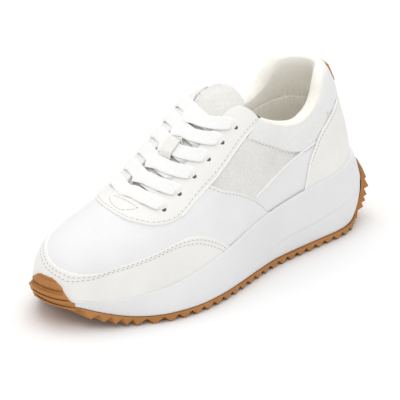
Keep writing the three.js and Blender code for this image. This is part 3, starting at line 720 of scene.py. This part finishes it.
below_top = np.where(drop < SEAM_DROP, drop * seam / SEAM_DROP, seam + (drop - SEAM_DROP))
drop = np.where(drop < 0, drop, below_top)
height = np.maximum(high - drop * np.where(drop < 0, 0.4 + 0.6 * full_pad, 1), feather + 2)
around = 1.4 * np.arange(1, len(collar_ring) + 1)[:, None]
puckers = 0.3 * np.sin(around * 0.75 + 2 * np.sin(around * 0.13)) * np.exp(-(((drop - seam) / 8) ** 2))
out = out + puckers * full_pad
turn = turn_of_height(collar_ring, height, out)
backwards = (2 * (collar_ring - TOE_Y) / (HEEL_Y - TOE_Y) - 1) * ease(100, 128, collar_ring)
roll = section_point(collar_ring + out * backwards, turn * collar_sign, out)
lining_nap = brushed((0.90, 0.86, 0.765), (0.955, 0.938, 0.89), 0.86)
lining_cloth = finish_of("lining_cloth", lining_nap, Sheen_Weight=0.25)
lining = build("collar_roll", [(roll, None, 0)], [lining_cloth],
               weld=0.02, replaces=("collar_lining",))

# ---------- insole
# The insole is a foam board of nearly 4 mm under brushed cloth, a little dished, lying on the floor of
# the cup inside the wall of the upper.
BOARD_IN, BOARD_END, BOARD_TOP, BOARD_FOOT = 3.4, 3.9, 3.9, 0.2  # in from the last, and up from its floor
q = np.linspace(0, 1, 120)[:, None]
y = TOE_Y + BOARD_END + (HEEL_Y - TOE_Y - 2 * BOARD_END) * (1 - np.cos(np.pi * q)) / 2
plan = rounded_end(y - TOE_Y - BOARD_IN, TOE_END) * rounded_end(HEEL_Y - BOARD_IN - y, HEEL_END)
edge = np.concatenate([np.linspace(-1, 1, 41), np.linspace(1, -1, 41)])[None, :]
lift = np.concatenate([np.full(41, BOARD_TOP), np.full(41, BOARD_FOOT)])[None, :]
dish = np.where(lift == BOARD_TOP, np.minimum(1.2 * np.abs(edge) ** 3 - 0.9, 0), 0)
half = (through(LAST, 2, y) - BOARD_IN) * plan
floor_z = through(LAST, 3, y)
board = np.stack([through(LAST, 1, y) + edge * half, y + 0 * edge, floor_z + lift + dish], -1)
board = np.concatenate([board, board[:, :1]], axis=1)
insole = build("insole_board", [(board, None, 0)], [lining_cloth], replaces=("insole",), sharp=60)

# ---------- tongue
# The tongue is a thin pad under fine off-white knit, lying under the eyestays and standing out past
# their tops. A strap woven into it holds the laces, and a folded tape ends its inner top corner.
TONGUE_FROM, TONGUE_TO = -72.0, 21.5
TONGUE_TURN, TONGUE_MIDDLE = 0.36, 0.10  # half width and middle, as turns of the last
TONGUE_DOWN, TONGUE_HALF_THICK = 5.0, 2.1
q = np.linspace(0, 1, 130)
y = (TONGUE_FROM + (TONGUE_TO - TONGUE_FROM) * (1 - (1 - q) ** 1.7))[:, None]
round_top = rounded_end(TONGUE_TO - y, (5.0, 2.2))
reach = TONGUE_TURN * (0.45 + 0.55 * rounded_end(TONGUE_TO + 0.6 - y, (13.0, 2.4)))
angle = np.linspace(0, 2 * np.pi, 97)[None, :]
side = np.sign(np.cos(angle)) * np.abs(np.cos(angle)) ** 0.55
thick = TONGUE_HALF_THICK * round_top * np.sign(np.sin(angle)) * np.abs(np.sin(angle)) ** 0.5
crown = 0.9 * ease(-10, 14, y) * np.cos(side * 1.4) ** 2
arch = (np.sin(angle) > 0) * rounded_end(1 - np.abs(side), (0.75, 2.0)) - 0.55 * (np.abs(side) > 0.7)
mound = 1.7 * ease(-64, -52, y) * ease(0, 1, arch)  # where the throat lets the pad swell up
pad = last_point(y, TONGUE_MIDDLE + reach * side, -TONGUE_DOWN + thick + crown + mound)
uv = np.stack([reach * side * 80, y + 0 * side], -1)
pad_knit = knit((0.70, 0.685, 0.64), (0.89, 0.885, 0.865), 0.8)
tongue_knit = finish_of("tongue_knit", pad_knit, Sheen_Weight=0.15)
tongue = build("tongue_pad", [(pad, uv, 0)], [tongue_knit], replaces=("tongue",))


def over_last(x, y, lift):
    """Point standing lift over the last at a place given by x and y."""
    aside = x - through(LAST, 1, y)
    return section_point(y, np.sign(aside) * turn_of_width(y, np.abs(aside), lift), lift)


def normal_over(x, y):
    """Outward normal of the last at x and y: the cross product of short steps across and along."""
    across = over_last(x + 0.5, y, 0.0) - over_last(x - 0.5, y, 0.0)
    return unit(np.cross(across, over_last(x, y + 0.5, 0.0) - over_last(x, y - 0.5, 0.0)))


def band(x, y, lift, wide, thick, count=17, crown=0.7):
    """A flat woven band along points (x, y, lift) over the last: its section is a superellipse,
    across = wide/2 * cos^0.45, up = thick/2 * sin^crown, square to the run and to the last."""
    spot = over_last(x, y, lift)
    ahead = unit(np.gradient(spot, axis=0))
    up = normal_over(x, y)
    side = unit(np.cross(ahead, up))
    up = np.cross(side, ahead)
    angle = np.linspace(0, 2 * np.pi, 2 * count - 1)[None, :]
    across = np.sign(np.cos(angle)) * np.abs(np.cos(angle)) ** 0.45 * np.asarray(wide)[:, None] / 2
    rise = np.sign(np.sin(angle)) * np.abs(np.sin(angle)) ** crown * np.asarray(thick)[:, None] / 2
    grid = spot[:, None] + across[..., None] * side[:, None] + rise[..., None] * up[:, None]
    return grid, np.stack([length_along(spot)[:, None] + 0 * across, across], -1), 0


def woven(first, second, pitch):
    """Flat weave: crossed ribs, sin(k(u + v)) * sin(k(u - v)) with k = 3 / pitch, and fine lint."""

    def recipe(place, cut):
        axes = cut.node("SeparateXYZ", None, {0: cut})
        other = Signal(axes.tree, axes.socket.node.outputs[1])
        u, v = axes * (3.0 / pitch), other * (3.0 / pitch)
        ribs = (u + v).sine() * (u - v).sine()
        lint = place.noise(500, 3, 0.6)
        colour = (lint * 0.7 + ribs * 0.15).clamped(0.1, 0.7).blend(first, second)
        return colour, 0.8 + lint * 0.1, ribs * 0.10 + lint * 0.14

    return recipe


tape_weave = finish_of("tape_weave", woven((0.80, 0.785, 0.735), (0.90, 0.89, 0.855), 0.9))
LOOP_X, LOOP_Y, LOOP_HALF, LOOP_WIDE, LOOP_THICK = 4.6, -32.2, 9.0, 9.4, 0.9
LOOP_OVER, LOOP_DIVES = 4.1, 6.8  # height over the last, and how far both ends go down from it
at = np.linspace(-1, 1, 61)
loop_lift = LOOP_OVER - LOOP_DIVES * ease(0.45, 0.72, np.abs(at))
loop_wide, loop_thick = np.full(61, LOOP_WIDE), np.full(61, LOOP_THICK)
loop = band(LOOP_X + 0 * at, LOOP_Y + LOOP_HALF * at, loop_lift, loop_wide, loop_thick, count=11, crown=0.5)
build("loop_of_tongue", [loop], [tape_weave], replaces=("lace_loop",))
at = np.linspace(0, 1, 41)
fold_lift = -1.6 + 0.9 * np.sin(np.pi * at)
fold = band(-12.2 - 1.8 * at, 4 + 15.5 * at, fold_lift, 5.2 - 1.0 * at, np.full(41, 1.5), count=11)
build("tongue_tape", [fold], [tape_weave])

# ---------- laces
# The laces are flat tubular cotton 9.4 mm wide, criss-cross through six pairs of punched holes. Each bar
# comes up folded narrow through its hole, opens out flat, crosses, and tucks under the far eyestay.
HOLE_HALF = 25.5  # from the middle of the last to a hole
HOLE_ROWS = {1: (-58.0, 12.5), -1: (-52.5, 11.4)}  # y of a side's first hole, and its pitch
BENDS = {1: 4.6, -1: 2.0}  # how early a side's bars bend forward
# row by row: x where a bar dives under the far eyestay, and how far forward it has come there
OUTER_ENDS = [(-8.6, 5.4), (-8.0, 7.3), (-7.0, 9.4), (-6.6, 11.6), (-6.4, 13.0), (-6.4, 15.8)]
INNER_ENDS = [(13.5, 13.4), (17.4, 12.8), (18.4, 13.3), (18.8, 13.2), (18.6, 13.1), (18.6, 13.6)]
LACE_WIDE, LACE_THICK, FOLD_WIDE, FOLD_THICK = 9.4, 1.5, 5.6, 2.2


def height_of_bar(sign, t, gone, past):
    """How high a bar's middle runs over the last: 2.0 at the hole and 0.9 further on, 3.4 lower in the
    hole and 4.4 lower past its end. An outer bar is humped by 1.25 * exp(-((t - 0.62)/0.22)^2) to ride
    over; an inner one by 0.5 * exp(-((t - 0.32)/0.15)^2), and it then lies 0.5 lower to pass under."""
    lift = 2.0 - 1.1 * ease(9, 18, gone) - 3.4 * (1 - ease(-0.6, 2.0, gone)) - 4.4 * ease(-2.4, 1.6, past)
    if sign > 0:
        return lift + 1.25 * np.exp(-(((t - 0.62) / 0.22) ** 2))
    return lift + 0.5 * np.exp(-(((t - 0.32) / 0.15) ** 2)) - 0.5 * ease(0.5, 0.65, t)


lace_weave = woven((0.885, 0.88, 0.868), (0.94, 0.937, 0.93), 0.8)
lace_cotton = finish_of("lace_cotton", lace_weave, Sheen_Weight=0.1)
# a near-black for the discs of painted shade over the lace holes
eyelet_painted_shade = finish_of("eyelet_painted_shade", thread((0.13, 0.10, 0.07)))
t = np.linspace(0, 1.09, 91)  # along a bar: 0 at its hole, 1 at the far eyestay, and on under it
a = np.linspace(0, 2 * np.pi, 21)[None, :, None]
rings = np.array([0, 1.05, 1.5])[:, None, None]  # radii of a hole's disc of painted shade, on the eyestay
bars, painted_hole_shades = [], []
for number in range(6):
    for sign, (edge_x, lead) in ((1, OUTER_ENDS[number]), (-1, INNER_ENDS[number])):
        first_y, pitch = HOLE_ROWS[sign]
        hole_y = first_y + number * pitch
        hole_x = float(through(LAST, 1, hole_y)) + sign * HOLE_HALF
        x = hole_x + (edge_x - hole_x) * t
        y = hole_y - lead * (1 - np.clip(1 - t, 0, 1) ** BENDS[sign])
        gone = np.abs(x - hole_x)
        opening = ease(-0.5, 4.0, gone)
        wide = FOLD_WIDE + (LACE_WIDE - FOLD_WIDE) * opening - 0.8 * ease(0.8, 1.05, t)
        thick = FOLD_THICK - (FOLD_THICK - LACE_THICK) * opening
        bars.append(band(x, y, height_of_bar(sign, t, gone, sign * (edge_x - x)), wide, thick))
        # each hole is a near-black disc of painted shade laid on the eyestay, not cut through it
        place = np.array([hole_x + sign * 0.5]), np.array([hole_y - 1.3])
        spot, normal = over_last(*place, STAY_LEATHER + 0.06)[0], normal_over(*place)[0]
        ahead = unit(np.cross(normal, [1.0, 0, 0]))
        side = np.cross(ahead, normal)
        painted_hole_shades.append((spot + rings * (np.cos(a) * side + np.sin(a) * ahead), None, 0))
build("laces", bars, [lace_cotton], outwards=False, weld=0,
      replaces=tuple(f"lace_row_{n}" for n in range(1, 7)))
build("lace_holes_painted_shade", painted_hole_shades, [eyelet_painted_shade], weld=0.001)

# ---------- foam midsole
# The midsole is one thick moulding of matte white foam, cupped round the upper, with a fine groove
# that rises along each side of the heel.
SOLE = np.array(
    [  # y, centre, half width, height of the underside
        [-125, -6.2, 36.0, 15.8], [-117, -5.6, 38.5, 13.2], [-107, -5.0, 41.0, 9.9], [-97, -4.8, 42.6, 7.1],
        [-88, -4.0, 44.2, 5.6], [-76, -2.0, 47.2, 5.4], [-52, 0.8, 48.8, 5.4], [-30, 2.2, 46.2, 5.4],
        [-10, 3.0, 41.6, 5.4], [12, 2.8, 36.8, 5.4], [34, 1.5, 34.2, 5.4], [70, 0.6, 33.8, 5.4],
        [104, 0.2, 33.8, 5.4], [120, 0.0, 33.6, 6.0], [134, 0.0, 33.4, 9.5],
    ]
)
SOLE_TOE, SOLE_HEEL = -125.0, 134.0
RIM, RIM_UP = 2.35, 2.4  # how far the cup's rim stands out from the last, and above its feather edge
RIM_WIDE, CUP_DEEP = 1.7, 5.0
FLAT_BASE = 5.4


def sole_point(along, side, up, out):
    """Point of the foam's side: y and half width run from the sole's outline to the last's by up^1.6,
    plus a swell of sin(pi * up^0.8), 7.2 times as strong at the heel. along of 0 to 1 goes from toe
    to heel, side of -1 to 1 straight across, and out is in mm."""
    lean = np.maximum(up, 0) ** 1.6
    swell = np.sin(np.pi * np.clip(up, 0, 1) ** 0.8)
    toe = SOLE_TOE + (TOE_Y - 0.95 - SOLE_TOE) * lean - out
    heel = SOLE_HEEL + (HEEL_Y + RIM - SOLE_HEEL) * lean + 7.2 * swell + out
    y = toe + (heel - toe) * (1 - np.cos(np.pi * along)) / 2
    plan = rounded_end(y - toe, TOE_END) * rounded_end(heel - y, HEEL_END)
    low_half, high_half = through(SOLE, 2, y), through(LAST, 2, y) + RIM
    half = low_half + (high_half - low_half) * lean + swell + out
    centre = through(SOLE, 1, y) + (through(LAST, 1, y) - through(SOLE, 1, y)) * lean
    low, high = np.maximum(through(SOLE, 3, y), FLAT_BASE), through(LAST, 3, y) + RIM_UP
    return np.stack(np.broadcast_arrays(centre + side * half * plan, y, low + (high - low) * up), -1)


def middle_of(ring):
    """The ring's points brought straight across to the middle line of the last."""
    return np.stack([through(LAST, 1, ring[..., 1]), ring[..., 1], ring[..., 2]], -1)


def foam_recipe(place, cut):
    """Moulded foam: two close greys; its height is 0.06 * fine cells + 0.2 * broad swells."""
    cells = place.noise(900, 3, 0.6)
    broad = place.noise(30, 3, 0.5)
    shade = (broad * 0.7 + cells * 0.3).clamped(0.3, 0.7)
    colour = shade.blend((0.755, 0.757, 0.761), (0.805, 0.807, 0.811))
    return colour, 0.6 + broad * 0.12, cells * 0.06 + broad * 0.2


# y, and height of the groove there; it is 0.75 mm deep and the foam below it lies 0.35 mm further in
GROOVE = np.array([[15, 9.5], [25, 12.0], [39, 16.2], [73, 18.5], [95, 21.8], [112, 25.6], [134, 33.0]])
up = np.concatenate([np.linspace(0, 0.97, 56), [0.985, 0.995, 1.0]])[None, :]
# One lap of the shoe: along the medial side, back along the lateral side, and closed.
lap = np.concatenate([np.linspace(0.004, 0.996, 300), np.linspace(0.996, 0.004, 300), [0.004]])[:, None]
sign = np.concatenate([np.full(300, -1.0), np.full(300, 1.0), [-1.0]])[:, None]
smooth_side = sole_point(lap, sign, up, 0.0)
groove_z = through(GROOVE, 1, smooth_side[..., 1])
fade = ease(14, 44, smooth_side[..., 1])
below = smooth_side[..., 2] - groove_z
cutback = fade * (0.75 * np.exp(-((below / 0.9) ** 2)) + 0.35 * (1 - ease(-1.5, 0.5, below)))
EDGE_ROUND = 0.9  # radius of the foot's and the rim's rounding, quarter circles over 1 - sqrt(1 - u^2)
foot_round = EDGE_ROUND * (1 - np.sqrt(1 - (1 - np.clip(up / 0.05, 0, 1)) ** 2))
top_round = EDGE_ROUND * (1 - np.sqrt(1 - np.clip((up - 0.97) / 0.03, 0, 1) ** 2))
side_grid = sole_point(lap, sign, up, -cutback - foot_round - top_round)
side_grid[..., 2] -= 0.34 * (1 - ease(0, 0.06, up))
rim_in = sole_point(lap, sign, np.array([[1.0]]), -RIM_WIDE)
cup = rim_in - np.array([0, 0, CUP_DEEP])
under = side_grid[:, :1]
foam_grid = np.concatenate([middle_of(under), under, side_grid[:, 1:], rim_in, cup, middle_of(cup)], axis=1)
foam = finish_of("foam", foam_recipe)
build("foam_midsole", [(foam_grid, None, 0)], [foam], weld=0.02, sharp=50, replaces=("midsole",))

# ---------- gum rubber
# The outsole, toe bumper, heel wrap and heel tab are one batch of brown gum rubber, moulded with a
# sawtooth tread and glued on the foam; the tab at the collar has three ribs.


def gum_recipe(place, cut):
    """Gum rubber: two browns; its height is 0.05 * fine grain + 0.15 * broad swells."""
    broad = place.noise(45, 4, 0.6)
    fine = place.noise(1100, 2, 0.5)
    colour = (broad * 0.8 + fine * 0.2).clamped(0.3, 0.7).blend((0.37, 0.150, 0.034), (0.50, 0.225, 0.062))
    return colour, 0.42 + broad * 0.2, fine * 0.05 + broad * 0.15


gum = finish_of("gum_rubber", gum_recipe, Specular_IOR_Level=0.35)
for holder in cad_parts["outsole"].material_slots:
    holder.material = gum

TAB_TOP, TAB_DROP, TAB_HALF, TAB_THICK = 117.3, 16.0, 16.5, 3.4
TAB_RIM, TAB_RIB = 0.4, 0.45  # thickness at its rim, and how far its ribs stand up
MIDDLE_X = LAST[-1, 1]
across, level = np.linspace(-1, 1, 57), np.linspace(0, 1, 49)[:, None]
wide = TAB_HALF * (1 - 0.02 * level**2) * (1 - 0.30 * np.clip((level - 0.72) / 0.28, 0, 1) ** 2.5)
dome = rounded_end(1 - np.abs(across), (0.08, 2)) * rounded_end(1 - np.abs(2 * level - 1), (0.16, 2))
ribs = TAB_RIB * np.cos(across * np.pi * 2.5) * ease(0.1, 0.25, level) * ease(0.1, 0.3, 1 - level)
stand = TAB_RIM + (TAB_THICK - TAB_RIM + ribs * (np.abs(across) < 0.9)) * dome
back_y = np.linspace(HEEL_Y, 84, 320)


def heel_line(aside, height, lift):
    """(y, z) of the lifted last's level line at a height, at distances aside from its middle."""
    line = section_point(back_y + lift, turn_of_height(back_y + lift, height, lift), lift)
    return np.stack([np.interp(aside, line[:, 0] - MIDDLE_X, line[:, c]) for c in (1, 2)], -1)


rows = []
for height, x, rise in zip(TAB_TOP - TAB_DROP * level[:, 0], across * wide, stand):
    near, far = (heel_line(np.abs(x), height, lift) for lift in (0.0, TAB_THICK))
    rows.append(np.column_stack([MIDDLE_X + x, near + (far - near) * (rise / TAB_THICK)[:, None]]))
build("pull_tab", [(np.stack(rows), None, 0)], [gum], replaces=("heel_tab",))

# ---------- studio
# A plain pale floor, a pale sky all round, two large soft lights overhead, and a camera in front of the
# toe on its outer side.
AZIMUTH, ELEVATION, DISTANCE, LENS = np.radians(43.7), np.radians(21.5), 1392.0, 194.2
AIM_RIGHT, AIM_UP = -0.5, 42.8  # mm from the last's zero to the middle of the view
level = np.cos(ELEVATION)
back = np.array([np.sin(AZIMUTH) * level, -np.cos(AZIMUTH) * level, np.sin(ELEVATION)])
right = np.array([np.cos(AZIMUTH), np.sin(AZIMUTH), 0.0])
upward = np.cross(back, right)
lens = bpy.data.cameras.new("camera")
lens.lens, lens.sensor_width = LENS, 36.0
camera = bpy.data.objects.new("camera", lens)
spot = (ORIGIN + AIM_RIGHT * right + AIM_UP * upward + DISTANCE * back) / 1000
camera.matrix_world = Matrix([[*row, at] for *row, at in zip(right, upward, back, spot)] + [[0, 0, 0, 1]])
bpy.context.scene.collection.objects.link(camera)
bpy.context.scene.camera = camera


def floor_recipe(place, cut):
    """Matte paint: almost one shade, with 0.01 mm of height."""
    colour = place.noise(2, 2, 0.5).blend((0.90, 0.90, 0.90), (0.91, 0.91, 0.91))
    return colour, 0.9 + place.noise(3, 1, 0.5) * 0.05, place.noise(40, 1, 0.5) * 0.01


floor_mesh = bpy.data.meshes.new("floor")
floor_mesh.from_pydata([(-6, -6, 0), (6, -6, 0), (6, 6, 0), (-6, 6, 0)], [], [(0, 1, 2, 3)])
floor = bpy.data.objects.new("floor", floor_mesh)
floor_mesh.materials.append(finish_of("floor_paint", floor_recipe))
bpy.context.scene.collection.objects.link(floor)

world = bpy.data.worlds.new("studio")
bpy.context.scene.world = world
world.use_nodes = True
sky = world.node_tree.nodes["Background"]
sky.inputs["Color"].default_value, sky.inputs["Strength"].default_value = (1.0, 1.0, 1.0, 1.0), 0.82
LIGHTS = [("key", 1.8, 15.0, (-0.6, 0.3, 2.1)), ("fill", 1.4, 9.0, (0.9, -0.7, 2.0))]  # m, W, m
for name, size, power, place in LIGHTS:
    data = bpy.data.lights.new(name, "AREA")
    data.size, data.energy = size, power
    light = bpy.data.objects.new(name, data)
    light.location = place
    light.rotation_euler = (Vector((0, 0, 0.05)) - Vector(place)).to_track_quat("-Z", "Y").to_euler()
    bpy.context.scene.collection.objects.link(light)
bpy.context.scene.view_settings.view_transform = "Standard"

bpy.context.view_layer.update()
